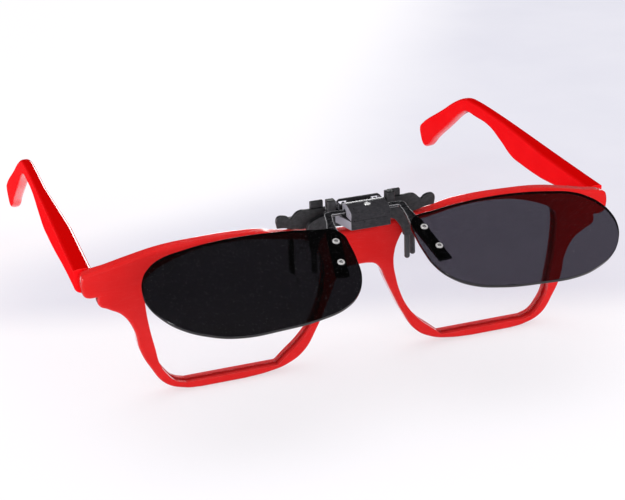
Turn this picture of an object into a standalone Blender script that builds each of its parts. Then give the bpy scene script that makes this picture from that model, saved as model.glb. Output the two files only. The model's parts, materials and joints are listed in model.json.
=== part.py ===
"""Flip-up clip-on sunglasses, carried by the plastic spectacles they grip.

Design axes, in millimetres: X to the wearer's left, Y backwards along the temples, Z up.
Y = 0 is the flat front of the spectacle frame and Z = 0 is the top line of the temples.
The root empty moves the design so that the model stands on Z = 0 with its box centred.
"""
import math

import bmesh
import bpy
from mathutils import Matrix, Vector

MM = 0.001
SIDES = (("left", 1), ("right", -1))

# whole model
RIM_DROP = 38.3          # rim bottoms below the temples' top line
FRONT_REACH = -38.36     # foremost point: the raised sun lenses' lower edge
BACK_REACH = 130.1       # rearmost point: the temple tips

# spectacle front
FRONT_THICK = 4.0
FRONT_ROUND = 0.9
GROOVE_DEPTH = 0.5
GROOVE_WIDTH = 2.2
CLEAR_LENS_THICK = 1.8
CLEAR_LENS_BITE = 0.35   # how far the clear lens reaches into the rim's groove

# temples and their barrel hinges
TEMPLE_IN = 70.6
TEMPLE_OUT = 73.7
TEMPLE_THICKEN = 1.6     # how much further in the inner face is near the hinge
THICK_UNTIL, THIN_FROM = 32.0, 62.0
FLARE_FROM = 84.0
FLARE = 0.03             # the ear end leans outwards by this much per millimetre
HINGE_X = 67.3
HINGE_Y = 7.6
KNUCKLE_R = 1.5
HINGE_PIN_R = 0.6
RUNNING_GAP = 0.06
KNUCKLE_LEVELS = (-7.7, -6.65, -6.55, -5.5, -5.4, -4.35)
LEAF_LOW, LEAF_HIGH = -7.9, -4.2

# flip axle, straps and sun lenses; the lens group is drawn flat, then tilted about the axle
AXLE_Y = -4.5
AXLE_Z = 6.02
LENS_TILT = math.radians(21.94)
STRAP_THICK = 0.8
LENS_THICK = 1.0
SMALL_GAP = 0.05
LENS_DATUM = 20.37       # axle to the lens outline's datum, down the strap
LENS_DATUM_X = 15.0
RIVET_R = 0.45
RIVET_HEAD_R = 0.95
RIVET_DROPS = (11.14, 18.35)
STRAP_SLOPE = 0.1637     # the strap leans outwards by this much per millimetre of length

# clip body
BODY_FRONT, BODY_BACK = -9.0, -2.2
BODY_LOW, BODY_TOP = 2.6, 4.98
COVER_LOW, COVER_TOP = 5.08, 8.42
COVER_BACK = -2.6
BODY_HALF, BODY_HALF_BACK = 5.3, 7.1
SLEEVE_R = 0.8
SCREW_Y = -6.3

# jaws
PIVOT_Y, PIVOT_Z = -1.3, 6.6
PIVOT_R = 0.5
FRONT_JAW_Y = (-2.1, -0.4)
REAR_JAW_Y = (1.1, 2.1)
POST_X = (6.9, 9.15)
POST_Y = (-2.5, -0.2)
POST_LOW, POST_TOP = 5.05, 8.7
EAR_X = (8.85, 12.4)
EAR_Y = (1.9, 2.85)
FRONT_PRONG = (12.88, -1.25)
REAR_PRONG = (16.92, 5.69)
REAR_PRONG_LEAN = 0.06   # the rear prongs lean forwards, towards the clear lenses' backs
PRONG_WIRE_R = 0.42
PRONG_SLEEVE_R = 0.75
PRONG_ROOT = 1.4         # how much of each prong's wire sits in its jaw
FRONT_PRONG_TOP, FRONT_PRONG_LENGTH = -2.95, 8.05
REAR_PRONG_TOP, REAR_PRONG_LENGTH = 2.25, 15.22


# ---------------------------------------------------------------- scene and helpers

def clear_scene():
    for obj in list(bpy.data.objects):
        bpy.data.objects.remove(obj, do_unlink=True)


def new_collection(name):
    made = bpy.data.collections.new(name)
    bpy.context.scene.collection.children.link(made)
    return made


def material(name, colour, roughness, metallic=0.0, alpha=1.0):
    made = bpy.data.materials.new(name)
    made.use_nodes = True
    shader = made.node_tree.nodes["Principled BSDF"]
    shader.inputs["Base Color"].default_value = (*colour, 1.0)
    shader.inputs["Roughness"].default_value = roughness
    shader.inputs["Metallic"].default_value = metallic
    shader.inputs["Alpha"].default_value = alpha
    return made


def empty(name, place, parent=None, tilt=0.0):
    """An empty at a place given in design millimetres relative to its parent's origin."""
    made = bpy.data.objects.new(name, None)
    made.empty_display_size = 0.01
    made.location = Vector(place) * MM
    made.rotation_euler = (tilt, 0.0, 0.0)
    made.parent = parent
    PARTS.objects.link(made)
    return made


def object_from_bmesh(name, shape, home):
    mesh = bpy.data.meshes.new(name)
    shape.to_mesh(mesh)
    shape.free()
    made = bpy.data.objects.new(name, mesh)
    home.objects.link(made)
    if home == CUTTERS:
        made.hide_render = True
        made.display_type = "WIRE"
    return made


def box(name, low, high, home=None):
    shape = bmesh.new()
    bmesh.ops.create_cube(shape, size=1.0)
    low, high = Vector(low) * MM, Vector(high) * MM
    size = high - low
    bmesh.ops.scale(shape, vec=size, verts=shape.verts)
    bmesh.ops.translate(shape, vec=(low + high) / 2, verts=shape.verts)
    return object_from_bmesh(name, shape, home or CUTTERS)


def rod(name, start, end, radius, end_radius=None, sides=20, home=None):
    """A cylinder or cone from start to end, with flat ends."""
    start, end = Vector(start) * MM, Vector(end) * MM
    axis = end - start
    shape = bmesh.new()
    bmesh.ops.create_cone(
        shape, cap_ends=True, segments=sides, depth=axis.length,
        radius1=radius * MM, radius2=(radius if end_radius is None else end_radius) * MM)
    turn = Vector((0, 0, 1)).rotation_difference(axis).to_matrix().to_4x4()
    place = Matrix.Translation((start + end) / 2) @ turn
    bmesh.ops.transform(shape, matrix=place, verts=shape.verts)
    return object_from_bmesh(name, shape, home or CUTTERS)


def turned(name, profile, place, sides=20, home=None):
    """A solid of revolution about a vertical axis.

    The profile is (radius, height) from the top down its outer side. One that ends where it
    starts is a ring."""
    mesh = bpy.data.meshes.new(name)
    edges = [(i, i + 1) for i in range(len(profile) - 1)]
    if profile[0] == profile[-1]:
        profile = profile[:-1]
        edges[-1] = (len(profile) - 1, 0)
    mesh.from_pydata([(r * MM, 0.0, h * MM) for r, h in profile], edges, [])
    made = bpy.data.objects.new(name, mesh)
    made.location = Vector(place) * MM
    screw = made.modifiers.new("turn", "SCREW")
    screw.steps = screw.render_steps = sides
    screw.use_merge_vertices = True
    screw.merge_threshold = 0.00001
    (home or PARTS).objects.link(made)
    return made


def outline(name, loops, half_depth, view=None, home=None, steps=2, grow=0.0):
    """A flat outline with depth. A loop's points are (x, y) for smooth or (x, y, 1) for a corner."""
    curve = bpy.data.curves.new(name, "CURVE")
    curve.dimensions = "2D"
    curve.fill_mode = "BOTH"
    curve.extrude = half_depth * MM
    curve.offset = grow * MM
    curve.resolution_u = steps
    curve.render_resolution_u = 0
    for loop in loops:
        spline = curve.splines.new("BEZIER")
        spline.bezier_points.add(len(loop) - 1)
        spline.use_cyclic_u = True
        for knot, point in zip(spline.bezier_points, loop):
            knot.co = (point[0] * MM, point[1] * MM, 0.0)
            kind = "VECTOR" if len(point) == 3 else "AUTO"
            knot.handle_left_type = knot.handle_right_type = kind
    drawn = bpy.data.objects.new(name + "_curve", curve)
    bpy.context.scene.collection.objects.link(drawn)
    bpy.context.view_layer.update()
    seen = drawn.evaluated_get(bpy.context.evaluated_depsgraph_get())
    mesh = bpy.data.meshes.new_from_object(seen)
    bpy.data.objects.remove(drawn)
    shape = bmesh.new()
    shape.from_mesh(mesh)
    bpy.data.meshes.remove(mesh)
    bmesh.ops.remove_doubles(shape, verts=shape.verts, dist=0.000002)
    bmesh.ops.dissolve_limit(
        shape, angle_limit=math.radians(0.1), verts=shape.verts, edges=shape.edges)
    bmesh.ops.recalc_face_normals(shape, faces=shape.faces)
    if view is not None:
        bmesh.ops.transform(shape, matrix=view, verts=shape.verts)
        bmesh.ops.recalc_face_normals(shape, faces=shape.faces)
    return object_from_bmesh(name, shape, home or PARTS)


def front_view(middle):
    """Outline x, y become design X, Z; the outline's depth is centred on Y = middle."""
    return Matrix.Translation((0, middle * MM, 0)) @ Matrix.Rotation(math.pi / 2, 4, "X")


def side_view(middle):
    """Outline x, y become design Y, Z; the outline's depth is centred on X = middle."""
    turn = Matrix.Rotation(math.pi / 2, 4, "Z") @ Matrix.Rotation(math.pi / 2, 4, "X")
    return Matrix.Translation((middle * MM, 0, 0)) @ turn


def flat_view(middle):
    """Outline x, y stay as they are; the outline's depth is centred on Z = middle."""
    return Matrix.Translation((0, 0, middle * MM))


def soften(obj, width, segments=1, angle=35):
    bevel = obj.modifiers.new("soften", "BEVEL")
    bevel.width = width * MM
    bevel.segments = segments
    bevel.limit_method = "ANGLE"
    bevel.angle_limit = math.radians(angle)
    bevel.use_clamp_overlap = True
    weld = obj.modifiers.new("weld", "WELD")
    weld.merge_threshold = 0.000002
    return obj


def combine(obj, other, operation):
    change = obj.modifiers.new(operation.lower(), "BOOLEAN")
    change.operation = operation
    change.solver = "EXACT"
    change.object = other
    other.parent = obj
    other.location = other.location - obj.location
    if other.name not in CUTTERS.objects:
        CUTTERS.objects.link(other)
        PARTS.objects.unlink(other)
    return obj


def cut(obj, *others):
    for other in others:
        combine(obj, other, "DIFFERENCE")
    return obj


def fuse(obj, *others):
    for other in others:
        combine(obj, other, "UNION")
    return obj


def finish(obj, parent, look, smooth=True):
    """Make obj a part of its body: look, shading, and a place under the body's empty."""
    if obj.name in CUTTERS.objects:
        CUTTERS.objects.unlink(obj)
        PARTS.objects.link(obj)
        obj.hide_render = False
        obj.display_type = "TEXTURED"
    obj.parent = parent
    if parent in OFFSETS:
        obj.location = obj.location - OFFSETS[parent] * MM
    obj.data.materials.clear()
    obj.data.materials.append(look)
    if smooth:
        obj.data.shade_smooth()
        obj.data.set_sharp_from_angle(angle=math.radians(35))
    return obj


def mirrored(half):
    """A closed outline from its right half, listed from the top middle to the bottom middle."""
    other = [(-p[0], *p[1:]) for p in reversed(half) if p[0] > 0.001]
    return list(half) + other


def sided(points, side):
    return [(side * p[0], *p[1:]) for p in points]


# ---------------------------------------------------------------- spectacles

FRONT_OUTER = [
    (0, -1.25), (5, -1.05), (8.6, -0.6), (11, -0.15), (15, 0.25), (19, 0.7), (23.1, 1.4),
    (26, 2.05), (30, 2.44), (44, 2.44), (52.4, 1.9), (60.7, 0.4), (66, -0.75), (70.6, -1.6),
    (72.1, -2.2), (72.6, -3.4), (72.6, -6.3), (72.2, -7.6), (71.2, -8.25), (68.9, -8.35, 1),
    (68.8, -10.6), (66.5, -12.1), (63.2, -14.3), (60.6, -19), (59.5, -25), (57.2, -30.3),
    (53.6, -35.6), (48.5, -37.8), (44.5, -38.3, 1), (32.5, -38.3, 1), (26.2, -37.8),
    (20.4, -36.4), (15.9, -33.5), (12.2, -27.7), (9.2, -21.3), (7.3, -16.9), (5.8, -13.3),
    (4.4, -11.9), (2.6, -11.45), (0, -11.35)]
OPENING = [
    (12.6, -3.3), (11.0, -5.8), (9.9, -8.8), (9.55, -12.4), (10.1, -16.3), (11.35, -21.2),
    (13.5, -25.9), (16.9, -30.3), (20.9, -33.8), (23.4, -36.05, 1), (48.2, -36.05, 1), (51, -35),
    (53.4, -32.2), (54.8, -29.5), (55.7, -24.7), (56.7, -18.8), (57.3, -12), (57.3, -7.6),
    (56.8, -5.6), (55.1, -3.9), (50.6, -1.7), (44.6, 0.1), (40, 0.8), (35, 1.05), (30, 0.9),
    (26, 0.4), (22.5, -0.25), (19.3, -0.8), (16.3, -1.3), (14.4, -1.9)]
TEMPLE_OUTLINE = [
    (4.2, -1.52, 1), (84, 0), (90, -0.8), (98, -4.0), (109, -10), (128.2, -20.6), (130.1, -22.4),
    (129.3, -25.8), (126.4, -28.5), (123.2, -27.9), (116.4, -22.9), (104.4, -14.8), (93.5, -7.4),
    (88.5, -5.1), (82, -4.75), (70.5, -5.0), (62.5, -7.3), (54, -9.6), (48, -9.75), (35, -9.4),
    (22, -8.4), (12, -8.05), (4.2, -8.0, 1)]


def spectacle_front():
    middle = FRONT_THICK / 2
    front = outline("frame_front", [mirrored(FRONT_OUTER)], FRONT_THICK / 2, front_view(middle))
    soften(front, FRONT_ROUND)
    for name, side in SIDES:
        opening = outline(
            f"opening_{name}", [sided(OPENING, side)], FRONT_THICK, front_view(middle), CUTTERS)
        cut(front, opening)
        groove = outline(
            f"groove_{name}", [sided(OPENING, side)], GROOVE_WIDTH / 2, front_view(middle),
            CUTTERS, grow=GROOVE_DEPTH)
        cut(front, groove)
        lens = outline(
            f"clear_lens_{name}", [sided(OPENING, side)], CLEAR_LENS_THICK / 2,
            front_view(middle), grow=CLEAR_LENS_BITE)
        finish(lens, ROOT, LOOKS["clear_lens"])
    return finish(front, ROOT, LOOKS["frame"])


def split_across(shape, y):
    """Cut a band of faces along Y = y, so that the shape can bend there."""
    geometry = list(shape.verts) + list(shape.edges) + list(shape.faces)
    bmesh.ops.bisect_plane(
        shape, geom=geometry, dist=0.000001, plane_co=(0, y * MM, 0), plane_no=(0, 1, 0))


def temple(name, side, pivot):
    """A side arm: thicker inwards near the hinge, with its ear end leaning outwards."""
    middle = side * (TEMPLE_IN + TEMPLE_OUT) / 2
    arm = outline(
        f"temple_{name}", [TEMPLE_OUTLINE], (TEMPLE_OUT - TEMPLE_IN) / 2, side_view(middle))
    shape = bmesh.new()
    shape.from_mesh(arm.data)
    for y in (THICK_UNTIL, THIN_FROM, FLARE_FROM, FLARE_FROM + 12):
        split_across(shape, y)
    for vert in shape.verts:
        y = vert.co.y / MM
        if abs(vert.co.x) < abs(middle) * MM:
            thick = min(1.0, max(0.0, (THIN_FROM - y) / (THIN_FROM - THICK_UNTIL)))
            vert.co.x -= side * TEMPLE_THICKEN * thick * MM
        gentle = min(max(y - FLARE_FROM, 0.0), 12.0) * FLARE / 2
        vert.co.x += side * (gentle + max(y - FLARE_FROM - 12.0, 0.0) * FLARE) * MM
    shape.to_mesh(arm.data)
    shape.free()
    soften(arm, 1.2, 2, angle=45)
    return finish(arm, pivot, LOOKS["temple"])


def knuckle(name, x, level):
    """One barrel of the hinge, bored for the screw."""
    low, high = KNUCKLE_LEVELS[level], KNUCKLE_LEVELS[level + 1]
    return rod(name, (x, HINGE_Y, low), (x, HINGE_Y, high), KNUCKLE_R, sides=24)


def hinge(name, side, pivot):
    x = side * HINGE_X
    bore = rod(
        f"hinge_bore_{name}", (x, HINGE_Y, -9), (x, HINGE_Y, 0), HINGE_PIN_R + RUNNING_GAP)
    back = FRONT_THICK + SMALL_GAP
    ends = sorted((x - side * 2.6, x + side * 1.4))
    leaf = box(f"hinge_front_leaf_{name}", (ends[0], back, LEAF_LOW),
               (ends[1], back + 0.7, LEAF_HIGH))
    soften(leaf, 0.25)
    for level in (0, 4):
        low, high = KNUCKLE_LEVELS[level], KNUCKLE_LEVELS[level + 1]
        fuse(leaf, knuckle(f"front_knuckle_{name}_{level}", x, level))
        fuse(leaf, box(f"front_web_{name}_{level}", (x - 1.3, back + 0.35, low),
                       (x + 1.3, HINGE_Y, high)))
    cut(leaf, bore)
    finish(leaf, ROOT, LOOKS["steel"])

    inner = TEMPLE_IN - TEMPLE_THICKEN - SMALL_GAP
    ends = sorted((side * (inner - 0.6), side * inner))
    plate = box(f"hinge_temple_leaf_{name}", (ends[0], 9.6, LEAF_LOW), (ends[1], 15.5, -5.0))
    soften(plate, 0.2)
    low, high = KNUCKLE_LEVELS[2], KNUCKLE_LEVELS[3]
    web = sorted((x, side * (inner - 0.3)))
    fuse(plate, knuckle(f"temple_knuckle_{name}", x, 2))
    fuse(plate, box(f"temple_web_{name}", (web[0], HINGE_Y + 0.2, low), (web[1], 11.5, high)))
    cut(plate, bore)
    finish(plate, pivot, LOOKS["steel"])

    head = KNUCKLE_LEVELS[5] + SMALL_GAP
    screw = turned(
        f"hinge_screw_{name}",
        [(0, head + 0.45), (0.75, head + 0.45), (1.05, head + 0.2), (1.05, head),
         (HINGE_PIN_R, head), (HINGE_PIN_R, LEAF_LOW + 0.1), (0, LEAF_LOW + 0.1)],
        (x, HINGE_Y, 0), 18)
    slot = box(f"hinge_screw_slot_{name}", (x - 1.2, HINGE_Y - 0.12, head + 0.22),
               (x + 1.2, HINGE_Y + 0.12, head + 0.9))
    cut(screw, slot)
    finish(screw, ROOT, LOOKS["steel"])


# ---------------------------------------------------------------- clip body and front jaw

def clip_body():
    """The lower half of the spring box: it widens backwards to meet the front jaw."""
    half, wide = BODY_HALF, BODY_HALF_BACK
    body = outline(
        "clip_body",
        [[(-half, BODY_FRONT, 1), (half, BODY_FRONT, 1), (wide, BODY_BACK, 1),
          (-wide, BODY_BACK, 1)]],
        (BODY_TOP - BODY_LOW) / 2, flat_view((BODY_TOP + BODY_LOW) / 2), steps=1)
    soften(body, 0.2)
    cut(body, rod("cover_screw_hole", (0, SCREW_Y, BODY_LOW + 0.6), (0, SCREW_Y, 6), 0.5))
    return finish(body, CLIP, LOOKS["clip"])


def clip_cover():
    """The upper half, with a rounded top front edge and a channel for the flip sleeve."""
    profile = [
        (BODY_FRONT, COVER_LOW, 1), (BODY_FRONT, 6.8, 1), (-8.7, 7.3), (-8.0, 7.7), (-6.8, 8.12),
        (-5.2, COVER_TOP), (-3.8, 8.25), (COVER_BACK, 7.7, 1), (COVER_BACK, COVER_LOW, 1)]
    cover = outline("clip_cover", [profile], BODY_HALF, side_view(0), steps=3)
    soften(cover, 0.15)
    bore = SLEEVE_R + RUNNING_GAP
    cut(cover,
        rod("sleeve_bore", (-9, AXLE_Y, AXLE_Z), (9, AXLE_Y, AXLE_Z), bore, sides=24),
        box("sleeve_channel", (-9, AXLE_Y - bore * 0.9, COVER_LOW - 1),
            (9, AXLE_Y + bore * 0.9, AXLE_Z)),
        rod("screw_clearance", (0, SCREW_Y, 4), (0, SCREW_Y, 9), 0.5),
        rod("screw_seat", (0, SCREW_Y, 7.72), (0, SCREW_Y, 9), 1.05))
    finish(cover, CLIP, LOOKS["clip"])

    screw = turned(
        "cover_screw",
        [(0, 8.5), (0.5, 8.46), (0.92, 8.2), (0.92, 7.78), (0.42, 7.78), (0.42, 3.35), (0, 3.35)],
        (0, SCREW_Y, 0), 18)
    cut(screw, box("cover_screw_slot", (-1, SCREW_Y - 0.13, 8.24), (1, SCREW_Y + 0.13, 9)))
    finish(screw, CLIP, LOOKS["steel"])


def front_jaw():
    """The upright plate in front of the rims: two posts above, two tapering arms below."""
    low, high = FRONT_JAW_Y
    x = FRONT_PRONG[0]
    foot = FRONT_PRONG_TOP - PRONG_ROOT + SMALL_GAP
    half = [(0, 4.9, 1), (6.3, 4.9, 1), (6.5, 5.5, 1), (9.5, 5.5, 1), (9.9, 4.9, 1), (11.8, 4.4),
            (13.9, 3.2), (14.5, 1.6), (14.1, -1.2), (x + 0.9, foot, 1), (x - 0.9, foot, 1),
            (11.5, -2.5), (10.4, -0.6), (9.2, 0.9), (7.8, 1.4), (6.0, 1.4, 1), (0, 1.4, 1)]
    plate = outline("front_jaw", [mirrored(half)], (high - low) / 2,
                    front_view((low + high) / 2))
    soften(plate, 0.3)
    for name, side in SIDES:
        ends = sorted(side * v for v in POST_X)
        post = box(f"post_{name}", (ends[0], POST_Y[0], POST_LOW), (ends[1], POST_Y[1], POST_TOP))
        soften(post, 0.28)
        fuse(plate, post)
        cut(plate, rod(
            f"prong_socket_{name}", (side * x, FRONT_PRONG[1], FRONT_PRONG_TOP - 3),
            (side * x, FRONT_PRONG[1], FRONT_PRONG_TOP + SMALL_GAP), PRONG_WIRE_R + SMALL_GAP,
            sides=16))
    cut(plate, rod("front_pivot_bore", (-15, PIVOT_Y, PIVOT_Z), (15, PIVOT_Y, PIVOT_Z),
                   PIVOT_R + RUNNING_GAP))
    return finish(plate, CLIP, LOOKS["clip"])


def prong(name, jaw, root, length, parent, lean=0.0):
    """A steel wire hanging from its root in a jaw, with a soft sleeve from its collar to its tip."""
    r, skin = PRONG_WIRE_R, PRONG_SLEEVE_R
    inner, collar = r + SMALL_GAP, -PRONG_ROOT
    wire = turned(
        f"{jaw}_prong_{name}", [(0, 0), (r, 0), (r, 0.85 - length), (0, 0.6 - length)],
        root, 12)
    sleeve = turned(
        f"{jaw}_prong_sleeve_{name}",
        [(0, 0.5 - length), (inner, 0.75 - length), (inner, collar), (skin, collar),
         (skin, 0.6 - length), (skin * 0.75, 0.2 - length), (skin * 0.35, -length), (0, -length)],
        root, 12)
    for piece, look in ((wire, LOOKS["steel"]), (sleeve, LOOKS["sleeve"])):
        piece.rotation_euler = (-math.atan(lean), 0.0, 0.0)
        finish(piece, parent, look)


# ---------------------------------------------------------------- rear jaw

def rear_jaw():
    """The wide plate over the rims, with thumb tabs at its ends and plain ears."""
    low, high = REAR_JAW_Y
    x, y = REAR_PRONG
    half = [(0, 5.75, 1), (13.4, 5.85), (15.3, 5.92), (16.4, 5.5), (17.35, 4.6), (18, 4.15),
            (18.8, 4.8), (20, 5.2), (21.3, 5.05), (21.8, 4.3), (21.6, 2.0, 1), (19.9, 1.85),
            (15.2, 0.8, 1), (8.5, 0.65, 1), (0, 0.9, 1)]
    plate = outline("rear_jaw", [mirrored(half)], (high - low) / 2,
                    front_view((low + high) / 2))
    soften(plate, 0.25)
    for name, side in SIDES:
        ends = sorted(side * v for v in EAR_X)
        ear = box(f"ear_{name}", (ends[0], EAR_Y[0], 4.0), (ends[1], EAR_Y[1], 7.6))
        soften(ear, 0.3)
        ends = sorted((side * (x - 1.1), side * (x + 1.1)))
        arm = box(f"rear_arm_{name}", (ends[0], high - 0.5, 0.95), (ends[1], y + 1.0, 2.6))
        soften(arm, 0.3)
        fuse(plate, ear, arm)
        cut(plate, rod(
            f"rear_socket_{name}", (side * x, y - 3 * REAR_PRONG_LEAN, REAR_PRONG_TOP - 3),
            (side * x, y, REAR_PRONG_TOP + SMALL_GAP), PRONG_WIRE_R + SMALL_GAP, sides=16))
    return finish(plate, JAW, LOOKS["clip"])


def squeeze_lever():
    """An upright bail over the spring. Its lugs turn on the pin and its feet carry the rear jaw."""
    half, wall, top, foot = 6.1, 0.6, 8.0, 5.8
    front, back = FRONT_JAW_Y[1] + 0.1, REAR_JAW_Y[0] - SMALL_GAP
    depth = 0.5
    profile = [(-half, foot, 1), (-half, top - 0.8), (-half + 0.8, top, 1), (half - 0.8, top, 1),
               (half, top - 0.8), (half, foot, 1), (half - wall, foot, 1), (half - wall, 7.4, 1),
               (3.4, 7.4, 1), (2.6, 6.2, 1), (-2.6, 6.2, 1), (-3.4, 7.4, 1),
               (-half + wall, 7.4, 1), (-half + wall, foot, 1)]
    bail = outline("squeeze_lever", [profile], depth / 2, front_view(front + depth / 2), steps=3)
    soften(bail, 0.1)
    for name, side in SIDES:
        ends = sorted((side * (half - 0.03), side * (half - wall + 0.03)))
        lug = box(f"lever_lug_{name}", (ends[0], -2.05, 5.7), (ends[1], front + 0.3, 7.5))
        soften(lug, 0.1)
        heel = box(f"lever_foot_{name}", (ends[0], front + 0.4, 3.4), (ends[1], back, 7.0))
        fuse(bail, lug, heel)
    cut(bail, rod("lever_pivot_bore", (-15, PIVOT_Y, PIVOT_Z), (15, PIVOT_Y, PIVOT_Z),
                  PIVOT_R + RUNNING_GAP))
    return finish(bail, JAW, LOOKS["clip"])


def pivot_pin():
    reach = POST_X[1] + 0.25
    pin = rod("pivot_pin", (-reach, PIVOT_Y, PIVOT_Z), (reach, PIVOT_Y, PIVOT_Z), PIVOT_R)
    soften(pin, 0.1)
    return finish(pin, CLIP, LOOKS["steel"])


def jaw_spring():
    """Torsion spring on the pivot pin: one leg on the front jaw, the other on the rear jaw."""
    coil_r, wire_r, turns, per_turn, half = 0.8, 0.17, 8.75, 12, 4.7
    rest = wire_r + SMALL_GAP
    front_leg, rear_leg = FRONT_JAW_Y[1] + rest, REAR_JAW_Y[0] - rest
    leg_top, leg_end = PIVOT_Z - 1.4, PIVOT_Z - 3.0
    count = int(turns * per_turn)
    points = [Vector((-half, front_leg, leg_end)), Vector((-half, front_leg, leg_top))]
    for i in range(count + 1):
        angle = math.tau * i / per_turn
        points.append(Vector((
            -half + 2 * half * i / count, PIVOT_Y + coil_r * math.cos(angle),
            PIVOT_Z + coil_r * math.sin(angle))))
    points += [Vector((half, rear_leg, leg_top)), Vector((half, rear_leg, leg_end))]
    curve = bpy.data.curves.new("jaw_spring", "CURVE")
    curve.dimensions = "3D"
    curve.bevel_depth = wire_r * MM
    curve.bevel_resolution = 1
    curve.use_fill_caps = True
    spline = curve.splines.new("POLY")
    spline.points.add(len(points) - 1)
    for knot, point in zip(spline.points, points):
        knot.co = (*(point * MM), 1.0)
    spring = bpy.data.objects.new("jaw_spring", curve)
    PARTS.objects.link(spring)
    spring.parent = CLIP
    spring.location = -OFFSETS[CLIP] * MM
    curve.materials.append(LOOKS["steel"])
    return spring


# ---------------------------------------------------------------- lens group, drawn flat

SUN_OUTLINE = [
    (0.5, 14.6), (5.8, 15.5), (10, 15.95), (18, 16.4), (27, 16.0), (34, 14.9), (40.2, 13.2),
    (43.4, 10.9), (45.8, 7.4), (46.8, 3.0), (46.4, -0.8), (44.5, -5.2), (40.9, -9.6), (35, -13.3),
    (28.4, -15.3), (18, -15.3), (8, -14.2), (1.2, -12), (-3, -8.5), (-5.4, -4), (-6.3, 1.5),
    (-6.4, 7.5), (-5.9, 11.6), (-3.6, 13.9)]


def strap_x(drop):
    """The strap's middle line: its distance from the symmetry plane at a drop below the axle."""
    return 11.74 + (drop - RIVET_DROPS[0]) * STRAP_SLOPE


def sun_lens(name, side):
    loop = [(side * (LENS_DATUM_X + u), w - LENS_DATUM) for u, w in SUN_OUTLINE]
    level = STRAP_THICK / 2 + SMALL_GAP + LENS_THICK / 2
    lens = outline(f"sun_lens_{name}", [loop], LENS_THICK / 2, flat_view(level))
    soften(lens, 0.15)
    for index, drop in enumerate(RIVET_DROPS):
        x = side * strap_x(drop)
        cut(lens, rod(f"lens_hole_{name}_{index}", (x, -drop, -1), (x, -drop, 3),
                      RIVET_R + SMALL_GAP, sides=16))
    return finish(lens, FLIP, LOOKS["sun_lens"])


def strap(name, side):
    """A flat strip: a tenon in the sleeve, a short bar, a bend, a neck and a wide lower blade."""
    low = RIVET_DROPS[1] + 3.6
    wide, neck, bar = 1.7, 0.95, 0.62
    shoulder, top = 7.4, 3.2
    points = [
        (BODY_HALF - 1.2, 0.5, 1), (BODY_HALF + 0.35, 0.5, 1), (BODY_HALF + 0.35, bar, 1),
        (9.6, bar), (10.75, 0.15), (strap_x(1.6) + neck, -1.6),
        (strap_x(top) + neck, -top), (strap_x(shoulder) + wide, -shoulder, 1),
        (strap_x(low) + wide, -low + 0.3, 1), (strap_x(low) - wide, -low, 1),
        (strap_x(shoulder) - wide, -shoulder, 1), (strap_x(top) - neck, -top),
        (strap_x(1.6) - neck, -1.6), (9.0, -bar), (8.4, -bar, 1), (BODY_HALF + 0.35, -bar, 1),
        (BODY_HALF + 0.35, -0.5, 1), (BODY_HALF - 1.2, -0.5, 1)]
    blade = outline(f"strap_{name}", [sided(points, side)], STRAP_THICK / 2, flat_view(0))
    soften(blade, 0.12)
    for index, drop in enumerate(RIVET_DROPS):
        x = side * strap_x(drop)
        cut(blade, rod(f"strap_hole_{name}_{index}", (x, -drop, -1), (x, -drop, 3),
                       RIVET_R + SMALL_GAP, sides=16))
    return finish(blade, FLIP, LOOKS["strap"])


def rivets(name, side):
    """Hollow rivets through lens and strap, each closed over a washer at the back."""
    face = STRAP_THICK / 2 + SMALL_GAP + LENS_THICK + SMALL_GAP
    back = -STRAP_THICK / 2 - SMALL_GAP
    washer = 0.25
    for index, drop in enumerate(RIVET_DROPS):
        row = ("upper", "lower")[index]
        x = side * strap_x(drop)
        rivet = turned(
            f"rivet_{row}_{name}",
            [(0, face + 0.05), (0.35, face + 0.05), (0.55, face + 0.4), (0.75, face + 0.42),
             (RIVET_HEAD_R, face + 0.15), (RIVET_HEAD_R, face), (RIVET_R, face),
             (RIVET_R, back - washer - 0.25), (0, back - washer - 0.25)],
            (x, -drop, 0), 16)
        finish(rivet, FLIP, LOOKS["rivet"])
        ring = turned(
            f"rivet_washer_{row}_{name}",
            [(RIVET_R + 0.05, back), (0.9, back), (0.9, back - washer + 0.08), (0.82, back - washer),
             (RIVET_R + 0.05, back - washer), (RIVET_R + 0.05, back)],
            (x, -drop, 0), 16)
        finish(ring, FLIP, LOOKS["rivet"])


def flip_sleeve():
    """The axle the lenses turn on: a tube in the cover's channel, holding both straps' tenons."""
    reach = BODY_HALF + 0.2
    sleeve = rod("flip_sleeve", (-reach, 0, 0), (reach, 0, 0), SLEEVE_R, sides=24)
    inner = 0.66
    for name, side in SIDES:
        cut(sleeve, rod(f"sleeve_socket_{name}", (side * (BODY_HALF - 1.3), 0, 0),
                        (side * 8, 0, 0), inner, sides=16))
    return finish(sleeve, FLIP, LOOKS["steel"])


def detent_spring():
    """A leaf in the channel under the sleeve, whose bow holds the lenses up or down."""
    half, wall = 4.4, 0.16
    base = BODY_TOP + 0.03
    loop = [(-half, base, 1), (half, base, 1), (half, base + wall, 1), (-half, base + wall, 1)]
    leaf = outline("detent_spring", [loop], 0.6, front_view(AXLE_Y), steps=1)
    return finish(leaf, CLIP, LOOKS["steel"])


# ---------------------------------------------------------------- assembly

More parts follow.
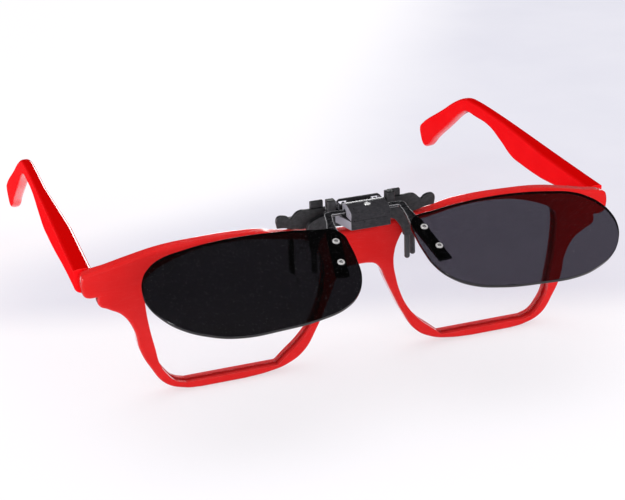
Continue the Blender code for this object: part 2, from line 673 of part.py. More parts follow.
clear_scene()
PARTS = new_collection("clip_on_sunglasses")
CUTTERS = new_collection("cutters")
LOOKS = {
    "frame": material("red_plastic", (0.62, 0.02, 0.02), 0.22),
    "temple": material("red_plastic_temple", (0.80, 0.008, 0.01), 0.2),
    "clear_lens": material("clear_lens", (0.9, 0.9, 0.93), 0.03, alpha=0.12),
    "sun_lens": material("smoke_lens", (0.03, 0.03, 0.035), 0.05, alpha=0.85),
    "clip": material("dark_grey_metal", (0.045, 0.045, 0.05), 0.4, 0.3),
    "strap": material("black_strap", (0.008, 0.008, 0.01), 0.3, 0.2),
    "sleeve": material("grey_rubber", (0.05, 0.05, 0.055), 0.55),
    "steel": material("plain_steel", (0.62, 0.62, 0.64), 0.3, 1.0),
    "rivet": material("bright_rivet", (0.75, 0.75, 0.77), 0.22, 1.0),
}
ROOT = empty("sunglasses_root", (0, -(FRONT_REACH + BACK_REACH) / 2, RIM_DROP))
PIVOTS = {
    name: empty(f"temple_{name}_pivot", (side * HINGE_X, HINGE_Y, 0), ROOT)
    for name, side in SIDES}
CLIP = empty("clip_lift", (0, PIVOT_Y, PIVOT_Z), ROOT)
JAW = empty("jaw_pivot", (0, 0, 0), CLIP)
FLIP = empty("flip_axis", (0, AXLE_Y - PIVOT_Y, AXLE_Z - PIVOT_Z), CLIP, LENS_TILT)
OFFSETS = {CLIP: Vector((0, PIVOT_Y, PIVOT_Z)), JAW: Vector((0, PIVOT_Y, PIVOT_Z))}
for name, side in SIDES:
    OFFSETS[PIVOTS[name]] = Vector((side * HINGE_X, HINGE_Y, 0))

spectacle_front()
for name, side in SIDES:
    temple(name, side, PIVOTS[name])
    hinge(name, side, PIVOTS[name])
    front_root = (side * FRONT_PRONG[0], FRONT_PRONG[1], FRONT_PRONG_TOP)
    rear_root = (side * REAR_PRONG[0], REAR_PRONG[1], REAR_PRONG_TOP)
    prong(name, "front", front_root, FRONT_PRONG_LENGTH, CLIP)
    prong(name, "rear", rear_root, REAR_PRONG_LENGTH, JAW, REAR_PRONG_LEAN)
    sun_lens(name, side)
    strap(name, side)
    rivets(name, side)
clip_body()
clip_cover()
front_jaw()
rear_jaw()
squeeze_lever()
pivot_pin()
jaw_spring()
flip_sleeve()
detent_spring()
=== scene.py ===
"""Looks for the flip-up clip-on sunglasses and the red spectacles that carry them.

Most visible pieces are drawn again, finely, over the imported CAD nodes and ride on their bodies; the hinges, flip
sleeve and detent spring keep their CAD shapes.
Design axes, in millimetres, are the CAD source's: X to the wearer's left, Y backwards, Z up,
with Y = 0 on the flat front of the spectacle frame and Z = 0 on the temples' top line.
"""

import json
import math

import bmesh
import bpy
from mathutils import Matrix, Vector


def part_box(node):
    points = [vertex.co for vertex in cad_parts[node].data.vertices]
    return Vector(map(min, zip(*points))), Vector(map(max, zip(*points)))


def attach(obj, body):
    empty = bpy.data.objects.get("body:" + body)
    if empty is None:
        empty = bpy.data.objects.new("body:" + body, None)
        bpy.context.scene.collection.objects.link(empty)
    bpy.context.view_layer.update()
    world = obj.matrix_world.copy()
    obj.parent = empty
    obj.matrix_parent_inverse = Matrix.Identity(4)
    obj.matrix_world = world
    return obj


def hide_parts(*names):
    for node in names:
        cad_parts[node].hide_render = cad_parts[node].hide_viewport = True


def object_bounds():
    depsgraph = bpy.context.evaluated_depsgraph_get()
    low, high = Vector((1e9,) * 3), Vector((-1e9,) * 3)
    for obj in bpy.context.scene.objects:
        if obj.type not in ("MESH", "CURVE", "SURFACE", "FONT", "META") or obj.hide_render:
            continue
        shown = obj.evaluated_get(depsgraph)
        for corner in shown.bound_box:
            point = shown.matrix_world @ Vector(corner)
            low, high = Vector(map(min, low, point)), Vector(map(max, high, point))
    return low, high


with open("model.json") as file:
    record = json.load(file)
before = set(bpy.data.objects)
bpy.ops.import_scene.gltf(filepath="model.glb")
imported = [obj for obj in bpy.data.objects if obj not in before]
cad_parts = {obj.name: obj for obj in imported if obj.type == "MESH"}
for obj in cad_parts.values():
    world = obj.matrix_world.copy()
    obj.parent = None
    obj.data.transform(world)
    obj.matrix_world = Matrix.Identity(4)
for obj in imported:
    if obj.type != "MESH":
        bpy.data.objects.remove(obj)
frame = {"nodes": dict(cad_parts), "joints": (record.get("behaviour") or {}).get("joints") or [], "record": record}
CAD_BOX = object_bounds()
MM = 0.001
ORIGIN = Vector((0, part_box("frame_front")[0].y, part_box("temple_left")[1].z))
SIDES = (("left", 1), ("right", -1))
JOINTS = {joint["name"]: joint for joint in frame["joints"]}


def design(world):
    """A point of the record, in design millimetres."""
    return (Vector(world) - ORIGIN) / MM


PIVOT = design(JOINTS["jaw_open"]["pos_m"])
AXLE = design(JOINTS["lens_flip"]["pos_m"])
LENS_TILT = math.radians(21.94)
FRONT_THICK = 4.0
STRAP_THICK = 0.8
LENS_THICK = 1.0
GAP = 0.05
CAMERA_TURN, CAMERA_RISE, CAMERA_ROLL = -18.243, 23.167, -2.046
CAMERA_SPOT = (-119.58, -323.956, 141.085)
SENSOR, FOCAL_LENGTH = 36.0, 83.2078656
WELD_DISTANCE = 0.000002

# ---------------------------------------------------------------- shapes


def sketch(loops, half, edge=0.0, grow=0.0, steps=10, rings=4):
    """A flat outline with depth and rounded edges. A loop's points are (x, y), or (x, y, 1)
    for a corner."""
    curve = bpy.data.curves.new("sketch", "CURVE")
    curve.dimensions = "2D"
    curve.fill_mode = "BOTH"
    curve.extrude = (half - edge) * MM
    curve.bevel_depth = edge * MM
    curve.bevel_resolution = rings
    curve.offset = (grow - edge) * MM
    curve.resolution_u = steps
    for loop in loops:
        spline = curve.splines.new("BEZIER")
        spline.bezier_points.add(len(loop) - 1)
        spline.use_cyclic_u = True
        for knot, point in zip(spline.bezier_points, loop):
            knot.co = (point[0] * MM, point[1] * MM, 0.0)
            kind = "VECTOR" if len(point) == 3 else "AUTO"
            knot.handle_left_type = knot.handle_right_type = kind
    drawn = bpy.data.objects.new("sketch", curve)
    bpy.context.scene.collection.objects.link(drawn)
    bpy.context.view_layer.update()
    seen = drawn.evaluated_get(bpy.context.evaluated_depsgraph_get())
    mesh = bpy.data.meshes.new_from_object(seen)
    bpy.data.objects.remove(drawn)
    shape = bmesh.new()
    shape.from_mesh(mesh)
    bpy.data.meshes.remove(mesh)
    bmesh.ops.remove_doubles(shape, verts=shape.verts, dist=WELD_DISTANCE)
    return shape


def front_view(middle):
    """Outline x, y become design X, Z; the depth is centred on Y = middle."""
    return (Matrix.Translation(ORIGIN + Vector((0, middle * MM, 0)))
            @ Matrix.Rotation(math.pi / 2, 4, "X"))


def side_view(middle):
    """Outline x, y become design Y, Z; the depth is centred on X = middle."""
    turn = Matrix.Rotation(math.pi / 2, 4, "Z") @ Matrix.Rotation(math.pi / 2, 4, "X")
    return Matrix.Translation(ORIGIN + Vector((middle * MM, 0, 0))) @ turn


def flat_view(middle):
    """Outline x, y become design X, Y; the depth is centred on Z = middle."""
    return Matrix.Translation(ORIGIN + Vector((0, 0, middle * MM)))


def flip_view(height=0.0):
    """Outlines drawn flat about the axle, then tilted to the raised position."""
    tilt = Matrix.Translation(ORIGIN + AXLE * MM) @ Matrix.Rotation(LENS_TILT, 4, "X")
    return tilt @ Matrix.Translation((0, 0, height * MM))


def solid(name, shape, view=None):
    """Turn a bmesh into an object, placed by a view."""
    if view is not None:
        bmesh.ops.transform(shape, matrix=view, verts=shape.verts)
    bmesh.ops.recalc_face_normals(shape, faces=shape.faces)
    mesh = bpy.data.meshes.new(name)
    shape.to_mesh(mesh)
    shape.free()
    made = bpy.data.objects.new(name, mesh)
    bpy.context.scene.collection.objects.link(made)
    return made


def block(low, high, edge=0.0, rings=3):
    """A box in design millimetres with rounded edges, as an object."""
    shape = bmesh.new()
    bmesh.ops.create_cube(shape, size=1.0)
    low, high = Vector(low) * MM, Vector(high) * MM
    bmesh.ops.scale(shape, vec=high - low, verts=shape.verts)
    bmesh.ops.translate(shape, vec=ORIGIN + (low + high) / 2, verts=shape.verts)
    if edge:
        bmesh.ops.bevel(shape, geom=list(shape.edges), offset=edge * MM, segments=rings,
                        profile=0.5, affect="EDGES", clamp_overlap=True)
    return solid("block", shape)


def bar(start, end, radius, view=None, sides=40):
    """A plain round bar between two design points, or two points of a view, as an object."""
    start, end = Vector(start) * MM, Vector(end) * MM
    axis = end - start
    shape = bmesh.new()
    bmesh.ops.create_cone(shape, cap_ends=True, segments=sides, depth=axis.length,
                          radius1=radius * MM, radius2=radius * MM)
    turn = Vector((0, 0, 1)).rotation_difference(axis).to_matrix().to_4x4()
    home = view if view is not None else Matrix.Translation(ORIGIN)
    return solid("bar", shape, home @ Matrix.Translation((start + end) / 2) @ turn)


def lathe(name, profile, view, sides=40):
    """A solid of revolution about Z. The profile is (radius, height), top to bottom."""
    shape = bmesh.new()
    knots = [shape.verts.new((r * MM, 0, h * MM)) for r, h in profile]
    edges = [shape.edges.new(pair) for pair in zip(knots, knots[1:])]
    bmesh.ops.spin(shape, geom=knots + edges, axis=(0, 0, 1), cent=(0, 0, 0),
                   steps=sides, angle=math.tau)
    bmesh.ops.remove_doubles(shape, verts=shape.verts, dist=0.000001)
    return solid(name, shape, view)


def at(x, y, z):
    """A view with its origin at a design point."""
    return Matrix.Translation(ORIGIN + Vector((x, y, z)) * MM)


def rounded(points, size=0.15, steps=3):
    """A profile with each inner corner cut by a small arc."""
    out = [points[0]]
    for before, here, after in zip(points, points[1:], points[2:]):
        here, a, b = Vector(here), Vector(before), Vector(after)
        reach = min(size, (a - here).length * 0.45, (b - here).length * 0.45)
        start = here.lerp(a, reach / (a - here).length)
        end = here.lerp(b, reach / (b - here).length)
        for i in range(steps + 1):
            t = i / steps
            out.append(tuple((1 - t) ** 2 * start + 2 * t * (1 - t) * here + t * t * end))
    return out + [points[-1]]


def bake(obj):
    """Replace an object's mesh by what its modifiers make."""
    bpy.context.view_layer.update()
    seen = obj.evaluated_get(bpy.context.evaluated_depsgraph_get())
    mesh = bpy.data.meshes.new_from_object(seen)
    obj.modifiers.clear()
    obj.data = mesh
    return obj


def combine(obj, tools, operation):
    for tool in tools:
        change = obj.modifiers.new("combine", "BOOLEAN")
        change.operation = operation
        change.solver = "EXACT"
        change.object = tool
    bake(obj)
    for tool in tools:
        bpy.data.objects.remove(tool)
    return obj


def cut(obj, *tools):
    return combine(obj, tools, "DIFFERENCE")


def join(obj, *tools):
    return combine(obj, tools, "UNION")


def piece(obj, body, slot, look, *nodes, angle=32):
    """Finish a fine piece: look, shading, its body and the CAD nodes it stands for. Its slot is not used."""
    obj.data.materials.clear()
    obj.data.materials.append(look)
    obj.data.shade_smooth()
    obj.data.set_sharp_from_angle(angle=math.radians(angle))
    even = obj.modifiers.new("even_shading", "WEIGHTED_NORMAL")
    even.keep_sharp = True
    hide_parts(*nodes)
    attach(obj, body)
    return obj


def mirrored(half):
    """A whole outline from its +X half; points on the middle are not doubled."""
    other = [(-p[0], *p[1:]) for p in reversed(half) if p[0] > 0.001]
    return list(half) + other


def sided(points, side):
    """An outline for one side of the object: side is 1 or -1."""
    return [(side * p[0], *p[1:]) for p in points]


# ---------------------------------------------------------------- looks

class Look:
    """A material under construction: small helpers that add and wire its nodes."""

    def __init__(self, name):
        self.material = bpy.data.materials.new(name)
        self.material.use_nodes = True
        self.tree = self.material.node_tree
        self.shader = self.tree.nodes["Principled BSDF"]
        place = self.add("ShaderNodeTexCoord")
        scaled = self.add("ShaderNodeVectorMath", {0: place.outputs["Object"]}, operation="SCALE")
        scaled.inputs["Scale"].default_value = 1000.0
        self.mm = scaled.outputs[0]

    def add(self, kind, inputs=None, **settings):
        node = self.tree.nodes.new(kind)
        for key, value in settings.items():
            setattr(node, key, value)
        for key, value in (inputs or {}).items():
            self.put(node, key, value)
        return node

    def put(self, node, key, value):
        if isinstance(value, bpy.types.NodeSocket):
            self.tree.links.new(value, node.inputs[key])
        else:
            node.inputs[key].default_value = value

    def set(self, **values):
        for key, value in values.items():
            self.put(self.shader, key.replace("_", " "), value)

    def stretched(self, scale, turn=(0, 0, 0)):
        made = self.add("ShaderNodeMapping", {"Vector": self.mm, "Scale": scale, "Rotation": turn})
        return made.outputs[0]

    def noise(self, scale, detail=3.0, where=None, rough=0.55):
        made = self.add("ShaderNodeTexNoise", {
            "Vector": where or self.mm, "Scale": scale, "Detail": detail, "Roughness": rough})
        return made.outputs["Fac"]

    def fit(self, value, low, high, out_low=0.0, out_high=1.0):
        made = self.add("ShaderNodeMapRange", {
            "Value": value, "From Min": low, "From Max": high, "To Min": out_low,
            "To Max": out_high})
        return made.outputs[0]

    def soft(self, value, low, high, out_low=0.0, out_high=1.0):
        made = self.add("ShaderNodeMapRange", {
            "Value": value, "From Min": low, "From Max": high, "To Min": out_low,
            "To Max": out_high}, interpolation_type="SMOOTHSTEP")
        return made.outputs[0]

    def maths(self, operation, a, b):
        return self.add("ShaderNodeMath", {0: a, 1: b}, operation=operation).outputs[0]

    def blend(self, factor, a, b, kind="MIX"):
        made = self.add("ShaderNodeMix", data_type="RGBA", blend_type=kind)
        for socket, value in ((0, factor), (6, a), (7, b)):
            if isinstance(value, bpy.types.NodeSocket):
                self.tree.links.new(value, made.inputs[socket])
            else:
                made.inputs[socket].default_value = (
                    value if socket == 0 else (*value, 1.0)[:4])
        return made.outputs[2]

    def scratches(self, density=0.64, length=0.25, width=7.0):
        """Fine hairlines in three directions, as a mask."""
        mask = None
        for turn in ((0.2, 0.1, 0.4), (0.9, 0.5, 1.3), (0.4, 1.2, 2.3)):
            line = self.noise(1.0, 2.0, self.stretched((length, width, width), turn))
            line = self.fit(line, density, density + 0.05)
            mask = line if mask is None else self.maths("MAXIMUM", mask, line)
        return mask

    def worn_edges(self, radius):
        """1 on sharp edges, fading to 0 over about the radius, in millimetres."""
        bevel = self.add("ShaderNodeBevel", {"Radius": radius * MM}, samples=4)
        flat = self.add("ShaderNodeNewGeometry")
        dot = self.add("ShaderNodeVectorMath", {0: bevel.outputs[0], 1: flat.outputs["Normal"]},
                       operation="DOT_PRODUCT")
        return self.fit(dot.outputs["Value"], 0.999, 0.93)

    def turned(self):
        """The components of the object's own surface normal."""
        place = self.add("ShaderNodeTexCoord")
        return self.add("ShaderNodeSeparateXYZ", {0: place.outputs["Normal"]}).outputs

    def bump(self, height, strength, distance):
        made = self.add("ShaderNodeBump", {
            "Height": height, "Strength": strength, "Distance": distance * MM})
        return made.outputs[0]


def red_plastic(name, colour, deep, top_shade=None):
    """Polished acetate: faint marbling, orange peel, hairline scratches and rubbed edges.
    With a top-shade colour, upward faces take it as painted shade; undersides and inner top edges alone gleam."""
    look = Look(name)
    cloud = look.noise(0.09, 4.0)
    vein = look.noise(0.5, 5.0, look.stretched((0.12, 0.5, 0.5), (0.2, 0.1, 0.5)))
    marble = look.maths("MULTIPLY", look.fit(cloud, 0.35, 0.7), look.fit(vein, 0.3, 0.75))
    base = look.blend(marble, deep, colour)
    edges = look.worn_edges(0.35)
    rubbed_edge_and_highlight = look.maths("MULTIPLY", edges, look.fit(look.noise(0.8), 0.35, 0.7, 0.0, 0.22))
    base = look.blend(rubbed_edge_and_highlight, base, (0.95, 0.22, 0.2))
    hair = look.scratches()
    peel = look.noise(1.4, 3.0)
    dust = look.fit(look.noise(9.0, 1.0), 0.735, 0.77, 0.0, 0.3)
    base = look.blend(dust, base, (0.85, 0.6, 0.58))
    rough = look.fit(look.noise(0.25, 4.0), 0.3, 0.7, 0.15, 0.24)
    rough = look.maths("ADD", rough, look.maths("MULTIPLY", hair, 0.16))
    height = look.maths("SUBTRACT", peel, look.maths("MULTIPLY", hair, 0.6))
    facing = look.add("ShaderNodeLayerWeight", {"Blend": 0.5}).outputs["Facing"]
    turned = look.turned()
    gleam = look.maths("MAXIMUM", look.fit(facing, 0.62, 0.76, 0.05, 1.0),
                       look.fit(turned["X"], -0.45, -0.7, 0.0, 0.5))
    if top_shade:
        # painted shade: upward faces darken towards the top-shade colour
        base = look.blend(look.fit(turned["Z"], 0.2, 0.9), base, top_shade)
        under = look.fit(turned["Z"], -0.35, -0.7)
        inner = look.maths("MULTIPLY", look.fit(turned["X"], 0.35, 0.5),
                           look.fit(turned["Z"], 0.4, 0.6))
        gleam = look.maths("MAXIMUM", look.maths("MAXIMUM", under, inner), 0.02)
    look.set(Base_Color=base, Roughness=rough, Normal=look.bump(height, 0.2, 0.01), IOR=1.5,
             Specular_IOR_Level=0.0 if top_shade else 0.12, Coat_Weight=gleam, Coat_Roughness=0.08)
    return look.material


def lens(name, tint, side, axis, gloss=0.03, smear=0.12):
    """A thin tinted plate. What is behind shows through its faces, and its sides are solid."""
    look = Look(name)
    smudge = look.fit(look.noise(0.16, 4.0), 0.5, 0.72, gloss, gloss + smear)
    hair = look.scratches(0.67, 0.3, 9.0)
    rough = look.maths("ADD", smudge, look.maths("MULTIPLY", hair, 0.15))
    dust = look.fit(look.noise(6.5, 1.0), 0.745, 0.775, 0.0, 0.35)
    normal = look.bump(look.maths("ADD", look.noise(0.2, 1.0), look.maths("MULTIPLY", hair, 0.05)),
                       0.15, 0.02)
    normal_here = look.add("ShaderNodeTexCoord").outputs["Normal"]
    across = look.add("ShaderNodeVectorMath", {0: normal_here, 1: axis}, operation="DOT_PRODUCT")
    flat = look.fit(look.maths("ABSOLUTE", across.outputs["Value"], 0.0), 0.55, 0.85)
    through = look.add("ShaderNodeBsdfTransparent", {"Color": look.blend(flat, side, tint)})
    sheen = look.add("ShaderNodeBsdfGlossy", {
        "Color": (1, 1, 1, 1), "Roughness": rough, "Normal": normal})
    specks = look.add("ShaderNodeBsdfDiffuse", {"Color": (0.6, 0.6, 0.62, 1)})
    fresnel = look.add("ShaderNodeFresnel", {"IOR": 1.45, "Normal": normal})
    inside = look.add("ShaderNodeNewGeometry").outputs["Backfacing"]
    shine = look.maths("MULTIPLY", fresnel.outputs[0], look.maths("SUBTRACT", 1.0, inside))
    mixed = look.add("ShaderNodeMixShader", {0: shine, 1: through.outputs[0],
                                             2: sheen.outputs[0]})
    dusty = look.add("ShaderNodeMixShader", {0: dust, 1: mixed.outputs[0], 2: specks.outputs[0]})
    out = look.tree.nodes["Material Output"]
    look.tree.links.new(dusty.outputs[0], out.inputs["Surface"])
    look.tree.nodes.remove(look.shader)
    return look.material


def coated_metal(name, colour, bare_and_highlight, rough, grain=0.5, metallic=0.6, wear=0.5, lit_side_colour=None,
                 top_shade=None, highlight_from=None):
    """Dark finish on metal: fine grain, uneven sheen, and bare metal rubbed through at edges.
    Faces turned to -X may take a paler lit-side colour, painted light, and upward faces a
    top-shade colour, painted shade. From a distance along world Y, in millimetres, its edges
    take a painted highlight in the bare colour."""
    look = Look(name)
    tone = look.fit(look.noise(1.1, 4.0), 0.3, 0.7, 0.8, 1.25)
    base = look.add("ShaderNodeVectorMath", {0: (*colour,), "Scale": tone}, operation="SCALE")
    base = base.outputs[0]
    if top_shade:
        # painted shade: upward faces take the top-shade colour
        base = look.blend(look.fit(look.turned()["Z"], 0.5, 0.8), base, top_shade)
    if lit_side_colour:
        # painted light: faces turned to -X take the paler lit-side colour and are made less metallic
        lit_side_mask = look.fit(look.turned()["X"], -0.6, -0.95)
        base = look.blend(lit_side_mask, base, lit_side_colour)
        metallic = look.maths("SUBTRACT", metallic, look.maths("MULTIPLY", lit_side_mask, metallic))
    patchy = look.fit(look.noise(1.6, 4.0), 0.42, 0.66, 0.0, wear)
    wear_and_highlight_mask = look.maths("MULTIPLY", look.worn_edges(0.16), patchy)
    hair = look.scratches(0.62, 0.5, 8.0)
    wear_and_highlight_mask = look.maths("MAXIMUM", wear_and_highlight_mask, look.maths("MULTIPLY", hair, 0.12))
    if highlight_from:
        # painted highlight: edges at world Y past this value take the bare colour
        along = look.add("ShaderNodeSeparateXYZ", {0: look.mm}).outputs["Y"]
        rubbed_edge_and_highlight = look.maths("MULTIPLY", look.worn_edges(0.3),
                            look.soft(along, highlight_from, highlight_from + 2))
        wear_and_highlight_mask = look.maths("MAXIMUM", wear_and_highlight_mask, rubbed_edge_and_highlight)
    fine = look.noise(14.0, 2.0)
    roughness = look.fit(look.noise(0.7, 4.0), 0.3, 0.7, rough - 0.07, rough + 0.07)
    roughness = look.maths("SUBTRACT", roughness, look.maths("MULTIPLY", wear_and_highlight_mask, 0.15))
    look.set(Base_Color=look.blend(wear_and_highlight_mask, base, bare_and_highlight), Roughness=roughness,
             Metallic=metallic, Normal=look.bump(fine, grain, 0.012), IOR=1.5)
    return look.material


def bright_metal(name, colour, rough, stretch=(0.6, 12.0, 12.0), metallic=0.75):
    """Drawn or plated steel with faint drawing lines, and painted shade darkening its recesses."""
    look = Look(name)
    lines = look.noise(1.0, 3.0, look.stretched(stretch, (0.0, 0.3, 0.2)))
    cloud = look.noise(0.8, 4.0)
    base = look.blend(look.fit(cloud, 0.35, 0.7, 0.0, 0.3), colour, tuple(c * 0.6 for c in colour))
    rough_map = look.fit(lines, 0.3, 0.7, rough - 0.06, rough + 0.1)
    # painted shade: recesses darken towards near-black by ambient occlusion
    open_to_air = look.add("ShaderNodeAmbientOcclusion", {"Distance": 1.2 * MM}, samples=6)
    base = look.blend(look.fit(open_to_air.outputs["AO"], 0.6, 0.9, 1.0, 0.0), base,
                      (0.02, 0.02, 0.02))
    look.set(Base_Color=base, Metallic=metallic, Roughness=rough_map,
             Normal=look.bump(lines, 0.2, 0.006))
    return look.material


def soft_sleeve(name, colour):
    """Matt silicone with a little dust and a fine skin."""
    look = Look(name)
    skin = look.noise(7.0, 3.0)
    dust = look.fit(look.noise(2.5, 4.0), 0.5, 0.8, 0.0, 0.35)
    base = look.blend(dust, colour, tuple(c * 2.2 for c in colour))
    look.set(Base_Color=base, Roughness=look.fit(skin, 0.3, 0.7, 0.42, 0.56),
             Sheen_Weight=0.15, Sheen_Roughness=0.4, Normal=look.bump(skin, 0.25, 0.015))
    return look.material


FLIP_AXIS = (0, -math.sin(LENS_TILT), math.cos(LENS_TILT))
LOOKS = {
    "frame": red_plastic("red_acetate", (0.76, 0.018, 0.018), (0.64, 0.012, 0.012)),
    # painted light: the temple is a brighter, lit copy of the frame's red, with (0.5, 0.001, 0.001) as painted
    # shade on upward faces
    "temple": red_plastic("lit_red_acetate_temple", (0.96, 0.009, 0.012), (0.88, 0.006, 0.009),
                          (0.5, 0.001, 0.001)),
    "clear_lens": lens("clear_plastic", (0.985, 0.985, 0.99), (0.8, 0.82, 0.84), (0, 1, 0), 0.02,
                       0.05),
    "sun_lens": lens("smoke_plastic", (0.272, 0.262, 0.29), (0.02, 0.02, 0.022), FLIP_AXIS),
    # painted shade: the lens on the -X side is a darker copy of the smoke lens
    "sun_lens_shaded": lens("shaded_smoke_plastic", (0.1, 0.096, 0.104), (0.01, 0.01, 0.01),
                          FLIP_AXIS),
    # the paler (0.38, 0.37, 0.42) is painted light on faces turned to -X
    "clip": coated_metal("dark_satin_metal", (0.085, 0.082, 0.092), (0.4, 0.4, 0.42), 0.34, 0.25,
                         0.72, 0.2, (0.38, 0.37, 0.42)),
    # the near-black (0.008, 0.008, 0.01) is painted shade on upward faces
    "plate": coated_metal("dark_plate", (0.085, 0.083, 0.088), (0.3, 0.3, 0.32), 0.4, 0.25, 0.6,
                          0.08, None, (0.008, 0.008, 0.01)),
    # the pale (0.8, 0.8, 0.82) is bare metal at worn edges and a painted highlight on the edges from world Y -59
    # mm
    "strap": coated_metal("black_metal", (0.008, 0.008, 0.01), (0.8, 0.8, 0.82), 0.3, 0.2, 0.4,
                          0.5, highlight_from=-59),
    "sleeve": soft_sleeve("grey_silicone", (0.05, 0.051, 0.056)),
    "wire": bright_metal("drawn_steel", (0.5, 0.5, 0.52), 0.3),
    "hinge_steel": bright_metal("hinge_steel", (0.6, 0.6, 0.62), 0.3),
    "spring_steel": bright_metal("spring_steel", (0.06, 0.06, 0.065), 0.3),
    "bright_steel": bright_metal("bright_screw", (0.85, 0.85, 0.84), 0.25, (2.0, 2.0, 2.0), 0.3),
    "rivet": bright_metal("plated_rivet", (0.72, 0.7, 0.69), 0.2, (2.5, 2.5, 2.5), 0.3),
}

# ---------------------------------------------------------------- spectacles

FRONT_OUTER = [
    (0, -1.25), (5, -1.05), (8.6, -0.6), (11, -0.15), (15, 0.25), (19, 0.7), (23.1, 1.4),
    (26, 2.05), (30, 2.44), (44, 2.44), (52.4, 1.9), (60.7, 0.4), (66, -0.75), (70.6, -1.6),
    (72.1, -2.2), (72.6, -3.4), (72.6, -6.3), (72.2, -7.6), (71.2, -8.25), (68.9, -8.35, 1),
    (68.8, -10.6), (66.5, -12.1), (63.2, -14.3), (60.6, -19), (59.5, -25), (57.2, -30.3),
    (53.6, -35.6), (48.5, -37.8), (44.5, -38.3, 1), (32.5, -38.3, 1), (26.2, -37.8),
    (20.4, -36.4), (15.9, -33.5), (12.2, -27.7), (9.2, -21.3), (7.3, -16.9), (5.8, -13.3),
    (4.4, -11.9), (2.6, -11.45), (0, -11.35)]
OPENING = [
    (12.6, -3.3), (11.0, -5.8), (9.9, -8.8), (9.55, -12.4), (10.1, -16.3), (11.35, -21.2),
    (13.5, -25.9), (16.9, -30.3), (20.9, -33.8), (23.4, -36.05, 1), (48.2, -36.05, 1), (51, -35),
    (53.4, -32.2), (54.8, -29.5), (55.7, -24.7), (56.7, -18.8), (57.3, -12), (57.3, -7.6),
    (56.8, -5.6), (55.1, -3.9), (50.6, -1.7), (44.6, 0.1), (40, 0.8), (35, 1.05), (30, 0.9),
    (26, 0.4), (22.5, -0.25), (19.3, -0.8), (16.3, -1.3), (14.4, -1.9)]
TEMPLE_OUTLINE = [
    (4.2, -1.52, 1), (84, 0), (90, -0.8), (98, -4.0), (109, -10), (128.2, -20.6), (130.1, -22.4),
    (129.3, -25.8), (126.4, -28.5), (123.2, -27.9), (116.4, -22.9), (104.4, -14.8), (93.5, -7.4),
    (88.5, -5.1), (82, -4.75), (70.5, -5.0), (62.5, -7.3), (54, -9.6), (48, -9.75), (35, -9.4),
    (22, -8.4), (12, -8.05), (4.2, -8.0, 1)]
TEMPLE_IN, TEMPLE_OUT, THICKEN = 70.6, 73.7, 1.6
FLARE_FROM, FLARE = 84.0, 0.03


def spectacle_front():
    middle = FRONT_THICK / 2
    front = solid("spectacle_front", sketch([mirrored(FRONT_OUTER)], middle, 0.9, rings=5),
                  front_view(middle))
    for name, side in SIDES:
        loop = [sided(OPENING, side)]
        cut(front, solid("opening", sketch(loop, FRONT_THICK), front_view(middle)))
        cut(front, solid("groove", sketch(loop, 0.95, grow=0.5), front_view(middle)))
        glass = solid(f"clear_lens_{name}_fine", sketch(loop, 0.9, 0.1, 0.35, rings=2),
                      front_view(middle))
        piece(glass, "spectacles", "clear_lens", LOOKS["clear_lens"], f"clear_lens_{name}")
    weld = front.modifiers.new("weld", "WELD")
    weld.merge_threshold = 0.02 * MM
    bake(front)
    piece(front, "spectacles", "frame", LOOKS["frame"], "frame_front", angle=50)


def temple(name, side):
    """An arm, thicker on its inner side near the hinge and flaring outwards past the bend."""
    middle, half = side * (TEMPLE_IN + TEMPLE_OUT) / 2, (TEMPLE_OUT - TEMPLE_IN) / 2
    shape = sketch([TEMPLE_OUTLINE], half, 1.15, rings=5)
    bmesh.ops.transform(shape, matrix=side_view(middle), verts=shape.verts)
    for station in range(8, 128, 3):
        geometry = list(shape.verts) + list(shape.edges) + list(shape.faces)
        bmesh.ops.bisect_plane(shape, geom=geometry, dist=0.000001,
                               plane_co=(0, ORIGIN.y + station * MM, 0), plane_no=(0, 1, 0))
    for vert in shape.verts:
        y = (vert.co.y - ORIGIN.y) / MM
        inward = min(1.0, max(0.0, (middle * side - side * vert.co.x / MM) / half + 1) / 2)
        thick = min(1.0, max(0.0, (62.0 - y) / 30.0))
        gentle = min(max(y - FLARE_FROM, 0.0), 12.0) * FLARE / 2
        outward = gentle + max(y - FLARE_FROM - 12.0, 0.0) * FLARE
        vert.co.x += side * (outward - THICKEN * thick * inward) * MM
    arm = solid(f"temple_{name}_fine", shape)
    piece(arm, f"temple_{name}_arm", "temple", LOOKS["temple"], f"temple_{name}", angle=40)


# ---------------------------------------------------------------- clip

BODY_FRONT, BODY_BACK = -9.0, -2.2
BODY_LOW, BODY_TOP = 2.6, 4.98
COVER_LOW, COVER_TOP, COVER_BACK = 5.08, 8.42, -2.6
BODY_HALF, BODY_HALF_BACK = 5.3, 7.1
SLEEVE_R = 0.8
SCREW_Y = -6.3
PIVOT_R = 0.5
FRONT_JAW_Y = (-2.1, -0.4)
REAR_JAW_Y = (1.1, 2.1)
POST_X, POST_Y, POST_Z = (6.9, 9.15), (-2.5, -0.2), (5.05, 8.7)
EAR_X, EAR_Y = (8.85, 12.4), (1.9, 2.85)
FRONT_PRONG = (12.88, -1.25, -2.95, 8.05)
REAR_PRONG = (16.92, 5.69, 2.25, 15.22)
REAR_LEAN = 0.06
PRONG_ROOT = 1.4
WIRE_R, PRONG_R = 0.42, 0.75


